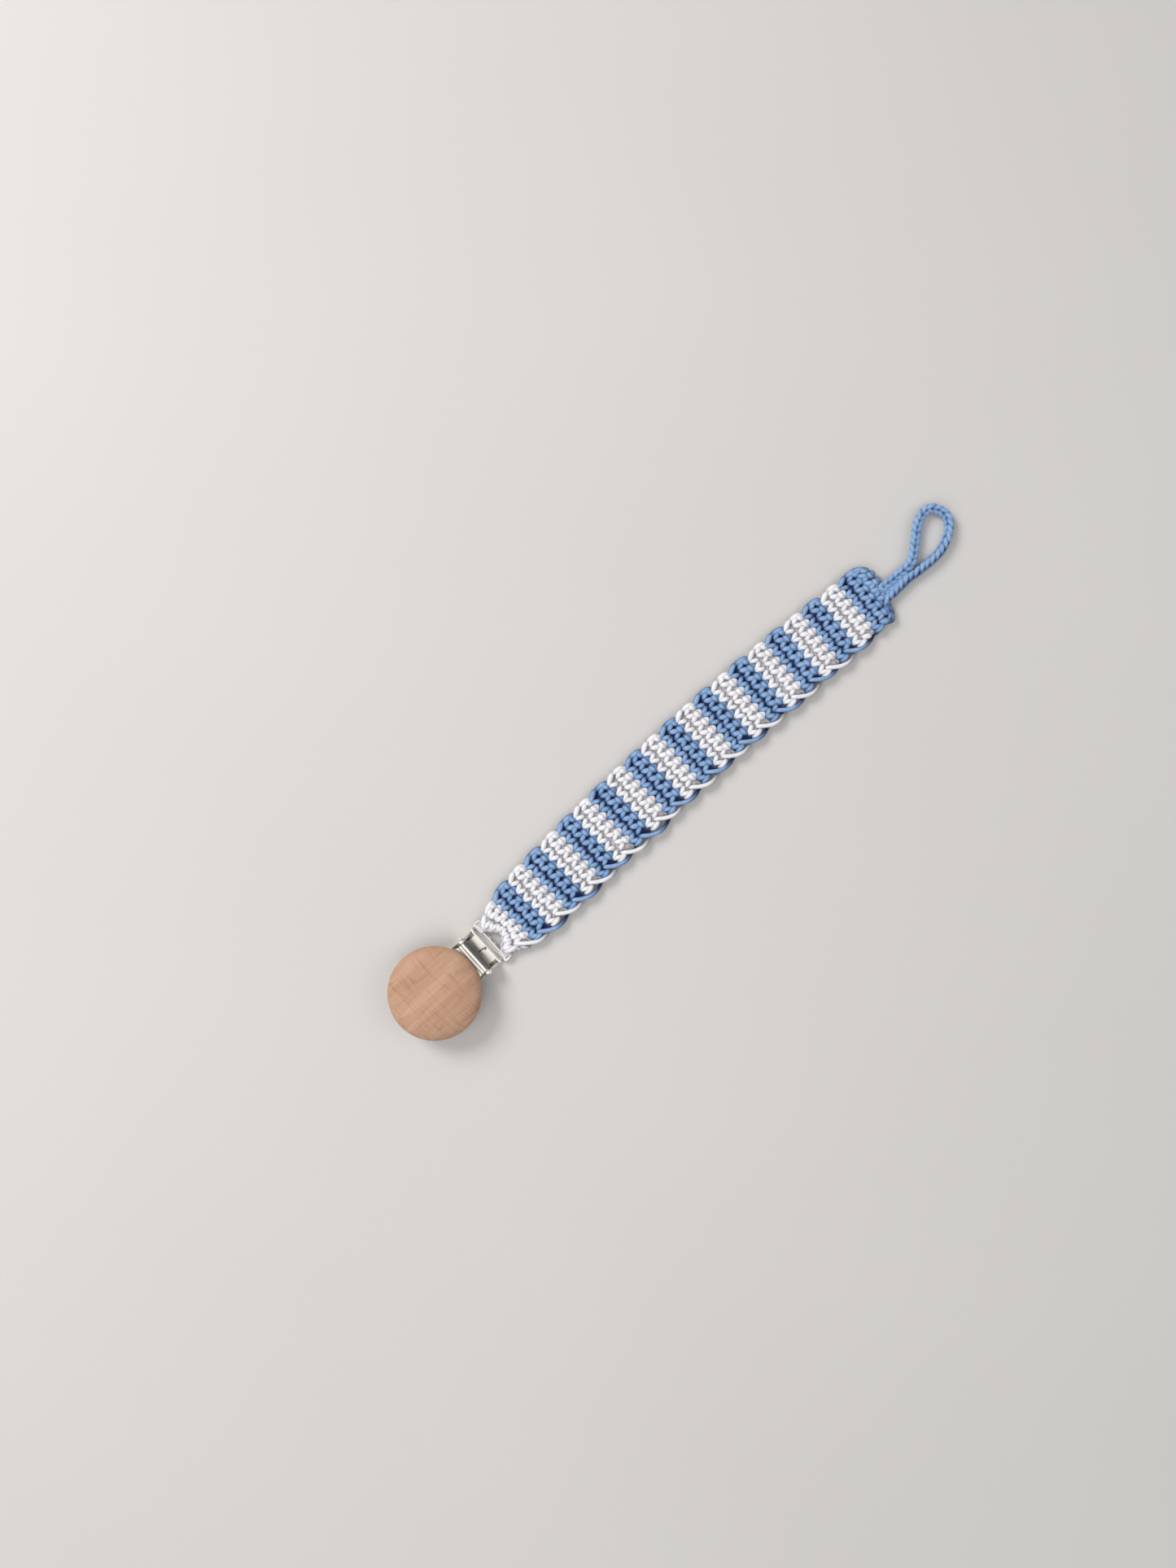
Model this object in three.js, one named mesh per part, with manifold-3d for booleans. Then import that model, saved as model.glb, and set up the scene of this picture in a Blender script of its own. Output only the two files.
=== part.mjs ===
// Soother holder: a crocheted cotton strap with a wooden-faced lever clip at one end
// and a corded loop at the other. Millimetres, +Z up.
//
// The origin lies on the back face of the clip's base plate, straight below the hinge pin.
// +X runs along the strap towards the loop, and z = 0 is the surface the whole part lies on.
import * as THREE from 'three';
import { mergeVertices } from 'three/addons/utils/BufferGeometryUtils.js';
import Module from 'manifold-3d';

// ---------- driving dimensions ----------
const GAP = 0.3;                     // clearance kept between neighbouring pieces

const SHEET = 0.8;                   // clip sheet metal
const PIN_Z = 4.5;                   // hinge pin height above the back face
const PIN_RADIUS = 0.55;
const PIN_LENGTH = 15.4;
const EYE_RADIUS = 1.6;              // rolled end of the lever round the pin
const CAM_REACH = 2.5;               // lever cam, from the pin axis down to the spring jaw

const DISC_RADIUS = 15;              // wooden face
const DISC_CENTRE_X = -17;
const DISC_BOTTOM = 5.0;
const DISC_TOP = 12.0;
const DISC_RIM_Z = 7.6;              // height of the widest line of the rim
const DISC_UNDERCUT = 1.6;           // the rim draws in by this much towards the back
const LEVER_DISC_RADIUS = 12.6;
const LEVER_HALF_NECK = 5.7;
const LEVER_HALF_FLARE = 7.0;
const LEVER_FLARE_X = -4.2;          // where the lever has widened, under the edge of the disc
const LEVER_LINE_RADIUS = 0.25;      // two raised lines across the lever
const LEVER_LINES_X = [-1.0, -1.9];
const CAM_HALF = 0.6;
const PIN_TIP_RADIUS = 0.25;
const PIN_TAPER = 0.75;

const EAR_INNER = 6.0;               // ears stand from here outwards, each side
const EAR_BACK_X = -2.4;
const EAR_FRONT_X = 3.4;
const EAR_SHOULDER_Z = 1.6;
const EAR_TOP_RADIUS = 1.9;
const JAW_END_X = -27;
const BACK_JAW_HALF = 9.5;
const BACK_JAW_CORNER = 4;
const BACK_JAW_WIDE_X = -9;          // the plate widens from its neck up to here
const BAR_X = 6.5;                   // strap bar of the clip
const BAR_Z = 1.65;
const BAR_RADIUS = 0.45;
const SLOT_EDGE_X = 4.65;            // edge of the plate, across the slot from the bar
const RAIL_INNER = 6.6;              // slot half length
const RAIL_OUTER = 7.95;
const RAIL_END_X = 8.5;
const RAIL_START_X = 3.7;            // rails rise from the plate from here on
const NUB_Y = 1.2;                   // two small nubs on the bar
const NUB_HALF = 0.3;
const NUB_REACH = 0.75;

const SPRING = 0.6;                  // spring jaw sheet
const SPRING_LOW = 1.1;              // underside of the spring jaw at its root
const SPRING_HIGH = 3.2;             // underside of the spring jaw over the grip
const SPRING_ROOT_X = 4.35;
const SPRING_HALF_ROOT = 6.5;
const SPRING_HALF_JAW = 8.6;
const SPRING_NOTCH_X = 3.75;         // behind the root the tongues narrow between the ears
const SLIT_HALF = 0.25;              // slit between the two tongues

const GRIP_FROM_X = -25.4;
const GRIP_TO_X = -18.6;
const GRIP_HALF = 7.6;
const GRIP_THICK = 0.8;
const GRIP_RIBS = 4;
const GRIP_RIB_HEIGHT = 0.35;

const STRAP_THICK = 3.0;
const STRIPE = 7.45;                 // two rows of stitches
const STRIPE_GAP = 0.36;             // lets a fold turn 45 degrees
const STRIPE_PAIRS = 10;
const STRAP_START_X = 16.8;          // where the first blue stripe begins
const STRAP_WIDTH = 24.8;
const START_TAPER = 2.9;             // narrower by this much at the first blue stripe
const START_TAPER_LENGTH = 9;
const END_TAPER = 1.9;               // and by this much at the last white stripe
const END_TAPER_FROM_X = 100;
const BOW = 3.05;                    // how far the strap lies off a straight line
const BOW_START_X = 10;
const BOW_SPAN = 172;
const ARM_INNER = 3.7;               // the strap's two arms loop round the bar from here outwards
const ARM_RING_OUTER = 1.55;
const ARM_RING_INNER = 0.75;
const END_BLOCK_LENGTH = 9.6;
const END_BLOCK_WIDTH = 22.0;
const END_STEP_WIDTH = 15.2;         // the last row is shorter and ends beside the loop
const END_STEP = 2.2;

const CORD_RADIUS = 1.65;
const CORD_Z = 1.7;
const NECK_LENGTH = 10.1;
const NECK_WIDTH = 7.0;
const NECK_Y = -1.7;

const STRAP_END_X = STRAP_START_X + 2 * STRIPE_PAIRS * STRIPE;
const NECK_START_X = STRAP_END_X + GAP + END_BLOCK_LENGTH + GAP + 0.1;

// middle line of the loop cord, from one side of the neck round to the other
const LOOP_ROUTE = [
  [0.4, -0.1], [1.4, -0.1], [3.4, 0.9], [5.8, 2.8], [8.6, 5.3], [11.4, 7.7], [14.2, 9.2], [17.0, 9.6],
  [19.2, 8.4], [20.6, 6.1], [20.8, 3.4], [19.6, 0.9], [17.2, -1.3], [14.1, -2.9], [10.8, -3.7],
  [7.2, -3.8], [3.6, -3.6], [1.4, -3.5], [0.4, -3.5],
];

// ---------- materials ----------
const wood = { color: 0xd2a587, roughness: 0.6, metalness: 0 };
const steel = { color: 0xc9c6bd, roughness: 0.32, metalness: 1 };
const plastic = { color: 0xeeeeea, roughness: 0.5, metalness: 0 };
const white = { color: 0xebebee, roughness: 0.9, metalness: 0 };
const blue = { color: 0x6f9bcb, roughness: 0.9, metalness: 0 };

// ---------- helpers ----------
const wasm = await Module();
wasm.setup();

function toSolid(geometry) {
  const bare = geometry.index ? geometry.toNonIndexed() : geometry.clone();
  bare.deleteAttribute('normal');
  bare.deleteAttribute('uv');
  const merged = mergeVertices(bare, 1e-4);
  return new wasm.Manifold(new wasm.Mesh({
    numProp: 3,
    vertProperties: new Float32Array(merged.attributes.position.array),
    triVerts: new Uint32Array(merged.index.array),
  }));
}

function toGeometry(solid) {
  const mesh = solid.getMesh();
  const geometry = new THREE.BufferGeometry();
  geometry.setAttribute('position', new THREE.BufferAttribute(mesh.vertProperties, 3));
  geometry.setIndex(new THREE.BufferAttribute(mesh.triVerts, 1));
  geometry.computeVertexNormals();
  return geometry;
}

function join(geometries) {
  const [first, ...rest] = geometries.map(toSolid);
  return toGeometry(rest.reduce((sum, solid) => sum.add(solid), first));
}

function cut(body, tools) {
  return toGeometry(tools.map(toSolid).reduce((rest, tool) => rest.subtract(tool), toSolid(body)));
}

function shapeFrom(points) {
  return new THREE.Shape(points.map(([x, y]) => new THREE.Vector2(x, y)));
}

// outline drawn in x and y, standing between two heights
function plate(shape, bottom, top, curveSegments = 8) {
  const options = { depth: top - bottom, bevelEnabled: false, curveSegments };
  return new THREE.ExtrudeGeometry(shape, options).translate(0, 0, bottom);
}

// outline drawn in x and z, running from one y to another
function profile(shape, fromY, toY, curveSegments = 8) {
  const options = { depth: toY - fromY, bevelEnabled: false, curveSegments };
  return new THREE.ExtrudeGeometry(shape, options).rotateX(Math.PI / 2).translate(0, toY, 0);
}

function block(x0, x1, y0, y1, z0, z1) {
  const box = new THREE.BoxGeometry(x1 - x0, y1 - y0, z1 - z0);
  return box.translate((x0 + x1) / 2, (y0 + y1) / 2, (z0 + z1) / 2);
}

function rodAlongY(x, z, radius, fromY, toY, sides = 24) {
  const rod = new THREE.CylinderGeometry(radius, radius, toY - fromY, sides);
  return rod.translate(x, (fromY + toY) / 2, z);
}

// flat bar of cloth with full-round front and back edges, its middle at the origin
function slat(length, width, thickness) {
  const r = thickness / 2;
  const shape = new THREE.Shape();
  shape.moveTo(-length / 2 + r, -r);
  shape.lineTo(length / 2 - r, -r);
  shape.absarc(length / 2 - r, 0, r, -Math.PI / 2, Math.PI / 2);
  shape.lineTo(-length / 2 + r, r);
  shape.absarc(-length / 2 + r, 0, r, Math.PI / 2, 1.5 * Math.PI);
  return profile(shape, -width / 2, width / 2, 8);
}

const part = new THREE.Group();

function add(name, geometry, look) {
  const mesh = new THREE.Mesh(geometry, new THREE.MeshStandardMaterial(look));
  mesh.name = name;
  part.add(mesh);
  return mesh;
}

// ---------- clip ----------
function basePlate() {
  const half = EAR_INNER + SHEET;
  const r = BACK_JAW_CORNER;
  const outline = new THREE.Shape();
  outline.moveTo(SLOT_EDGE_X, -half);
  outline.lineTo(SLOT_EDGE_X, half);
  outline.lineTo(-3.5, half);
  outline.quadraticCurveTo(-7, half, BACK_JAW_WIDE_X, BACK_JAW_HALF);
  outline.lineTo(JAW_END_X + r, BACK_JAW_HALF);
  outline.absarc(JAW_END_X + r, BACK_JAW_HALF - r, r, Math.PI / 2, Math.PI);
  outline.lineTo(JAW_END_X, -BACK_JAW_HALF + r);
  outline.absarc(JAW_END_X + r, -BACK_JAW_HALF + r, r, Math.PI, 1.5 * Math.PI);
  outline.lineTo(BACK_JAW_WIDE_X, -BACK_JAW_HALF);
  outline.quadraticCurveTo(-7, -half, -3.5, -half);
  const pieces = [plate(outline, 0, SHEET)];

  for (const side of [-1, 1]) {
    // ear round the pin
    const ear = new THREE.Shape();
    ear.moveTo(EAR_BACK_X, 0);
    ear.lineTo(EAR_FRONT_X, 0);
    ear.lineTo(EAR_FRONT_X, EAR_SHOULDER_Z);
    ear.lineTo(EAR_TOP_RADIUS, PIN_Z);
    ear.absarc(0, PIN_Z, EAR_TOP_RADIUS, 0, Math.PI);
    ear.lineTo(EAR_BACK_X, EAR_SHOULDER_Z);
    const hole = new THREE.Path();
    hole.absarc(0, PIN_Z, PIN_RADIUS + GAP, 0, 2 * Math.PI, true);
    ear.holes.push(hole);
    const [inner, outer] = [side * EAR_INNER, side * half];
    pieces.push(profile(ear, Math.min(inner, outer), Math.max(inner, outer), 10));

    // rail that carries the strap bar, cranked up from the plate, with a round lobe at its end
    const top = BAR_Z + SHEET / 2;
    const low = BAR_Z - SHEET / 2;
    const crank = profile(shapeFrom([
      [RAIL_START_X, 0], [4.9, 0], [6.0, low], [RAIL_END_X + 1, low], [RAIL_END_X + 1, top], [5.6, top],
      [4.4, SHEET], [RAIL_START_X, SHEET],
    ]), -RAIL_OUTER - 1, RAIL_OUTER + 1);
    const lobe = new THREE.Shape();
    lobe.moveTo(RAIL_START_X, side * RAIL_INNER);
    lobe.lineTo(RAIL_START_X, side * (half + 0.1));
    lobe.quadraticCurveTo(4.7, side * (half + 0.2), 5.3, side * (RAIL_OUTER - 0.4));
    lobe.quadraticCurveTo(6.2, side * (RAIL_OUTER + 0.1), 7.3, side * RAIL_OUTER);
    lobe.quadraticCurveTo(RAIL_END_X, side * (RAIL_OUTER - 0.2), RAIL_END_X, side * 7.2);
    lobe.quadraticCurveTo(RAIL_END_X, side * RAIL_INNER, 7.8, side * RAIL_INNER);
    const rail = toSolid(crank).intersect(toSolid(plate(lobe, -1, 4, 6)));
    pieces.push(toGeometry(rail));
  }
  pieces.push(rodAlongY(BAR_X, BAR_Z, BAR_RADIUS, -RAIL_INNER - 0.4, RAIL_INNER + 0.4, 16));
  for (const y of [-NUB_Y, NUB_Y]) {
    const [low, high] = [BAR_Z - NUB_HALF, BAR_Z + NUB_HALF];
    pieces.push(block(BAR_X, BAR_X + NUB_REACH, y - NUB_HALF, y + NUB_HALF, low, high));
  }
  return join(pieces);
}

function leverPlate() {
  const meet = DISC_CENTRE_X + Math.sqrt(LEVER_DISC_RADIUS ** 2 - LEVER_HALF_FLARE ** 2);
  const angle = Math.asin(LEVER_HALF_FLARE / LEVER_DISC_RADIUS);
  const outline = new THREE.Shape();
  outline.moveTo(0, -LEVER_HALF_NECK);
  outline.lineTo(0, LEVER_HALF_NECK);
  outline.lineTo(-2.0, LEVER_HALF_NECK);
  outline.quadraticCurveTo(LEVER_FLARE_X + 1, LEVER_HALF_NECK, LEVER_FLARE_X, LEVER_HALF_FLARE);
  outline.lineTo(meet, LEVER_HALF_FLARE);
  outline.absarc(DISC_CENTRE_X, 0, LEVER_DISC_RADIUS, angle, 2 * Math.PI - angle);
  outline.lineTo(LEVER_FLARE_X, -LEVER_HALF_FLARE);
  outline.quadraticCurveTo(LEVER_FLARE_X + 1, -LEVER_HALF_NECK, -2.0, -LEVER_HALF_NECK);
  const top = PIN_Z + EYE_RADIUS;
  const sheet = plate(outline, top - SHEET, top, 20);

  // rolled eye with a cam nose that points down at rest
  const nose = CAM_HALF;
  const eye = new THREE.Shape();
  eye.absarc(0, PIN_Z, EYE_RADIUS, -Math.PI / 2 + 0.5, 1.5 * Math.PI - 0.5);
  eye.lineTo(-nose, PIN_Z - CAM_REACH + 0.15);
  eye.lineTo(-nose + 0.25, PIN_Z - CAM_REACH);
  eye.lineTo(nose - 0.25, PIN_Z - CAM_REACH);
  eye.lineTo(nose, PIN_Z - CAM_REACH + 0.15);
  const bore = rodAlongY(0, PIN_Z, PIN_RADIUS + GAP, -LEVER_HALF_NECK - 1, LEVER_HALF_NECK + 1);
  const pieces = [sheet, profile(eye, -LEVER_HALF_NECK, LEVER_HALF_NECK, 12)];
  for (const x of LEVER_LINES_X) {
    pieces.push(rodAlongY(x, top, LEVER_LINE_RADIUS, -LEVER_HALF_NECK, LEVER_HALF_NECK, 10));
  }
  return cut(join(pieces), [bore]);
}

function woodenDisc() {
  const backRadius = DISC_RADIUS - DISC_UNDERCUT;
  const points = [new THREE.Vector2(0, DISC_BOTTOM), new THREE.Vector2(backRadius, DISC_BOTTOM)];
  const rimSteps = 5;
  for (let i = 1; i <= rimSteps; i += 1) {
    const a = (i / rimSteps) * Math.PI / 2;
    const r = backRadius + DISC_UNDERCUT * Math.sin(a);
    points.push(new THREE.Vector2(r, DISC_RIM_Z - (DISC_RIM_Z - DISC_BOTTOM) * Math.cos(a)));
  }
  const domeSteps = 14;
  for (let i = 1; i < domeSteps; i += 1) {
    const a = (i / domeSteps) * Math.PI / 2;
    const r = DISC_RADIUS * Math.cos(a) ** 0.8;
    points.push(new THREE.Vector2(r, DISC_RIM_Z + (DISC_TOP - DISC_RIM_Z) * Math.sin(a)));
  }
  points.push(new THREE.Vector2(0, DISC_TOP));
  const body = new THREE.LatheGeometry(points, 56).rotateX(Math.PI / 2).translate(DISC_CENTRE_X, 0, 0);

  // pocket and channel in the back for the lever plate
  const pocketTop = PIN_Z + EYE_RADIUS + GAP;
  const depth = pocketTop - DISC_BOTTOM + 1;
  const pocket = new THREE.CylinderGeometry(LEVER_DISC_RADIUS + GAP, LEVER_DISC_RADIUS + GAP, depth, 48);
  pocket.rotateX(Math.PI / 2).translate(DISC_CENTRE_X, 0, pocketTop - depth / 2);
  const halfChannel = LEVER_HALF_FLARE + GAP;
  const channel = block(DISC_CENTRE_X + 5, 1, -halfChannel, halfChannel, pocketTop - depth, pocketTop);
  return cut(body, [pocket, channel]);
}

// two tongues under the lever cam, running on to the toothed front jaw
function springJaw() {
  const side = shapeFrom([
    [SPRING_ROOT_X, SPRING_LOW], [SPRING_ROOT_X, SPRING_LOW + SPRING], [-3.0, SPRING_LOW + SPRING],
    [-8.2, SPRING_HIGH + SPRING], [-26.0, SPRING_HIGH + SPRING], [-26.6, SPRING_HIGH + 0.3],
    [-26.6, SPRING_HIGH - 0.9], [-26.0, SPRING_HIGH - 0.9], [-25.8, SPRING_HIGH],
    [-8.0, SPRING_HIGH], [-2.8, SPRING_LOW],
  ]);
  const wide = SPRING_HALF_JAW;
  const strip = profile(side, -wide, wide);
  const head = SPRING_HALF_ROOT;
  const neck = LEVER_HALF_NECK - 0.6;
  const notch = SPRING_NOTCH_X;
  const outline = plate(shapeFrom([
    [4.5, -head], [4.5, head], [notch, head], [notch, neck], [-3.0, neck], [-9.0, wide],
    [-27, wide], [-27, -wide], [-9.0, -wide], [-3.0, -neck], [notch, -neck], [notch, -head],
  ]), 0, 6);
  const slit = block(-2.4, 3.3, -SLIT_HALF, SLIT_HALF, 0, 6);
  const window = block(3.1, 4.0, -0.85, 0.15, 0, 6);
  const kept = toGeometry(toSolid(strip).intersect(toSolid(outline)));
  return cut(kept, [slit, window]);
}

// moulded grip with cross ribs; side is +1 where the ribs point up and -1 where they point down
function grip(fromZ, toZ, side) {
  const [x0, x1] = [GRIP_FROM_X, GRIP_TO_X];
  const ribs = GRIP_RIBS;
  const height = GRIP_RIB_HEIGHT;
  const pitch = (x1 - x0) / (ribs + 1);
  const low = Math.min(fromZ, toZ);
  const high = Math.max(fromZ, toZ);
  const face = side > 0 ? high : low;
  const [floor, roof] = side > 0 ? [low, high - height] : [low + height, high];
  const pieces = [block(x0, x1, -GRIP_HALF, GRIP_HALF, floor, roof)];
  for (let i = 0; i < ribs; i += 1) {
    const x = i < ribs / 2 ? x0 + (i + 0.5) * pitch : x1 - (ribs - i - 0.5) * pitch;
    const root = face - side * (height + 0.1);
    const shape = shapeFrom(side > 0
      ? [[x - 0.45, root], [x + 0.45, root], [x + 0.12, face], [x - 0.12, face]]
      : [[x - 0.12, face], [x + 0.12, face], [x + 0.45, root], [x - 0.45, root]]);
    pieces.push(profile(shape, -GRIP_HALF, GRIP_HALF));
  }
  return join(pieces);
}

function hingePin() {
  const half = PIN_LENGTH / 2;
  const r = PIN_RADIUS;
  const tip = PIN_TIP_RADIUS;
  const taper = PIN_TAPER;
  const points = [[0, -half], [tip, -half], [r, -half + taper], [r, half - taper], [tip, half], [0, half]];
  const profilePoints = points.map(([x, y]) => new THREE.Vector2(x, y));
  return new THREE.LatheGeometry(profilePoints, 24).translate(0, 0, PIN_Z);
}

add('base_plate', basePlate(), steel);
add('hinge_pin', hingePin(), steel);
add('lever_plate', leverPlate(), steel);
add('wooden_disc', woodenDisc(), wood);
add('spring_jaw', springJaw(), steel);
add('front_grip', grip(SPRING_HIGH - GAP, SPRING_HIGH - GAP - GRIP_THICK, -1), plastic);
add('back_grip', grip(SHEET + GAP, SHEET + GAP + GRIP_THICK, 1), plastic);

// ---------- crocheted strap ----------
function strapWidth(x) {
  const start = START_TAPER * Math.exp(-(x - STRAP_START_X) / START_TAPER_LENGTH);
  const late = Math.max(0, (x - END_TAPER_FROM_X) / (STRAP_END_X - END_TAPER_FROM_X));
  return STRAP_WIDTH - start - END_TAPER * late ** 2;
}

function bow(x) {
  return BOW * Math.sin(Math.PI * (x - BOW_START_X) / BOW_SPAN);
}

function bowAngle(x) {
  return Math.atan(BOW * Math.PI / BOW_SPAN * Math.cos(Math.PI * (x - BOW_START_X) / BOW_SPAN));
}

// point on the line square across the bowed strap at x, offset from its middle
function acrossStrap(x, offset) {
  const angle = bowAngle(x);
  return [x - offset * Math.sin(angle), bow(x) + offset * Math.cos(angle)];
}

// white beginning of the strap, with two arms that loop round the clip's bar
function strapStart() {
  const armInner = ARM_INNER;
  const armOuter = RAIL_INNER - GAP;
  const end = STRAP_START_X - GAP / 2;
  const outline = shapeFrom([
    [7.5, armInner], [9.95, 1.2], [9.95, -1.2], [7.5, -armInner], [7.5, -armOuter], [9.1, -armOuter],
    [9.5, -7.0], [10.8, -7.7], [14.4, -9.8], acrossStrap(end, -10.8), acrossStrap(end, 10.8), [13.8, 9.9],
    [10.6, 7.7], [9.5, 7.0], [9.1, armOuter], [7.5, armOuter],
  ]);
  const pieces = [plate(outline, 0, STRAP_THICK)];
  for (const side of [-1, 1]) {
    const ring = new THREE.Shape();
    ring.absarc(BAR_X, BAR_Z, ARM_RING_OUTER, 0, 2 * Math.PI);
    const inside = new THREE.Path();
    inside.absarc(BAR_X, BAR_Z, ARM_RING_INNER, 0, 2 * Math.PI, true);
    ring.holes.push(inside);
    const [near, far] = [side * armInner, side * armOuter];
    pieces.push(profile(ring, Math.min(near, far), Math.max(near, far), 12));
  }
  return join(pieces);
}

add('strap_start', strapStart(), white);
for (let i = 0; i < 2 * STRIPE_PAIRS; i += 1) {
  const isBlue = i % 2 === 0;
  const x = STRAP_START_X + (i + 0.5) * STRIPE;
  const number = String(Math.floor(i / 2) + 1).padStart(2, '0');
  const piece = slat(STRIPE - STRIPE_GAP, strapWidth(x), STRAP_THICK);
  const stripe = add(`${isBlue ? 'blue' : 'white'}_stripe_${number}`, piece, isBlue ? blue : white);
  stripe.position.set(x, bow(x), STRAP_THICK / 2);
  stripe.rotation.z = bowAngle(x);
}

function strapEnd() {
  const wide = slat(END_BLOCK_LENGTH - END_STEP, END_BLOCK_WIDTH, STRAP_THICK);
  wide.translate(-END_STEP / 2, -0.1, 0);
  const tall = slat(END_BLOCK_LENGTH, END_STEP_WIDTH, STRAP_THICK).translate(0, 2.0, 0);
  return join([wide, tall]);
}

const endX = STRAP_END_X + GAP + END_BLOCK_LENGTH / 2;
const end = add('strap_end', strapEnd(), blue);
end.position.set(endX, bow(endX), STRAP_THICK / 2);
end.rotation.z = bowAngle(endX);

// ---------- loop ----------
const neck = add('loop_neck', slat(NECK_LENGTH, NECK_WIDTH, 2 * CORD_RADIUS), blue);
neck.position.set(NECK_START_X + NECK_LENGTH / 2, NECK_Y, CORD_Z);

function loopCord() {
  const startX = NECK_START_X + NECK_LENGTH;
  const route = LOOP_ROUTE.map(([x, y]) => new THREE.Vector3(startX + x, y + 0.2, CORD_Z));
  const section = new THREE.Shape();
  section.absarc(0, 0, CORD_RADIUS, 0, 2 * Math.PI);
  const options = {
    steps: 48,
    curveSegments: 4,
    bevelEnabled: false,
    extrudePath: new THREE.CatmullRomCurve3(route, false, 'centripetal'),
  };
  return new THREE.ExtrudeGeometry(section, options);
}

add('loop_cord', loopCord(), blue);

export default part;
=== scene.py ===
"""Looks of the soother holder: crocheted cotton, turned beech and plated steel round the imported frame."""
import math

import bmesh
import bpy
import numpy as np
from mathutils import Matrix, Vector


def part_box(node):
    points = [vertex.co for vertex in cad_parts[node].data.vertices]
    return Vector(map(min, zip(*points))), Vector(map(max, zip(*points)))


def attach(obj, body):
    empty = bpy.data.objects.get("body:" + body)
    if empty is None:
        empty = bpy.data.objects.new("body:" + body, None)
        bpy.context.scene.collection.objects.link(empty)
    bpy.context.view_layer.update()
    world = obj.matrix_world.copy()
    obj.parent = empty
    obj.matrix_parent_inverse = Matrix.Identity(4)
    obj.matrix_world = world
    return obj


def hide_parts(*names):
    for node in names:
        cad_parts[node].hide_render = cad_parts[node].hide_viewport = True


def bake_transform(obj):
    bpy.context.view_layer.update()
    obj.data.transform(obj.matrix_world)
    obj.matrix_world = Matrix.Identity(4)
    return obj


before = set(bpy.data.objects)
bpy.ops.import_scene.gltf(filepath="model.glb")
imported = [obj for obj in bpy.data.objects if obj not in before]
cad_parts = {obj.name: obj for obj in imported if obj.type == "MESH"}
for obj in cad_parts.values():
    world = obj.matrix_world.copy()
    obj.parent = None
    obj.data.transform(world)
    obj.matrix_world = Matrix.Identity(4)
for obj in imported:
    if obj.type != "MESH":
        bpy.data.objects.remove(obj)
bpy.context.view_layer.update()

MM = 0.001                    # the yarn is drawn in millimetres; meshes are made in metres

# ---------- the strap, as the CAD model lays it out (millimetres) ----------
STRIPE = 7.45                 # two rows of stitches
ROW = STRIPE / 2
STITCH = 3.5                  # stitch width across the strap
COLUMNS = 6
FIRST_COLUMN = -8.55          # middle of the first stitch of a front row
STRIPE_PAIRS = 10
START_X = 16.8                # where the first blue stripe begins
STRAP_WIDTH = 24.8
START_TAPER, START_TAPER_LENGTH = 2.9, 9
END_TAPER, END_TAPER_FROM_X = 1.9, 100
END_X = START_X + 2 * STRIPE_PAIRS * STRIPE
BOW, BOW_START_X, BOW_SPAN = 3.05, 10, 172
MIDDLE_Z = 1.6                # half way through the cloth
BAR = (6.5, 1.65)             # x and z of the clip's strap bar
SEGMENT_STRIPES = 4           # stripes on each of the strap's five bodies
TABLE_GAP = 0.03              # between the table and the underside of the yarn

# ---------- the loop cord (millimetres) ----------
CORD_Z = 1.7
NECK_END_X = 186.2
NECK_OUT_Y, NECK_BACK_Y = 0.1, -3.3
LOOP_ROUTE = [
    (0.4, -0.1), (1.4, -0.1), (3.4, 0.9), (5.8, 2.8), (8.6, 5.3), (11.4, 7.7), (14.2, 9.2),
    (17.0, 9.6), (19.2, 8.4), (20.6, 6.1), (20.8, 3.4), (19.6, 0.9), (17.2, -1.3), (14.1, -2.9),
    (10.8, -3.7), (7.2, -3.8), (3.6, -3.6), (1.4, -3.5), (0.4, -3.5),
]

random = np.random.default_rng(11)


# ---------- camera ----------
LENS = 27.2
CAMERA_AT = (0.0635, 0.0168, 0.383)
CAMERA_TURN = -42.0           # degrees: the strap runs up to the right in the photo


def make_camera():
    camera = bpy.data.objects.new("camera", bpy.data.cameras.new("camera"))
    bpy.context.scene.collection.objects.link(camera)
    camera.data.lens = LENS
    camera.location = CAMERA_AT
    camera.rotation_euler = (0, 0, math.radians(CAMERA_TURN))
    camera.data.clip_start, camera.data.clip_end = 0.01, 10
    bpy.context.scene.camera = camera


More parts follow.
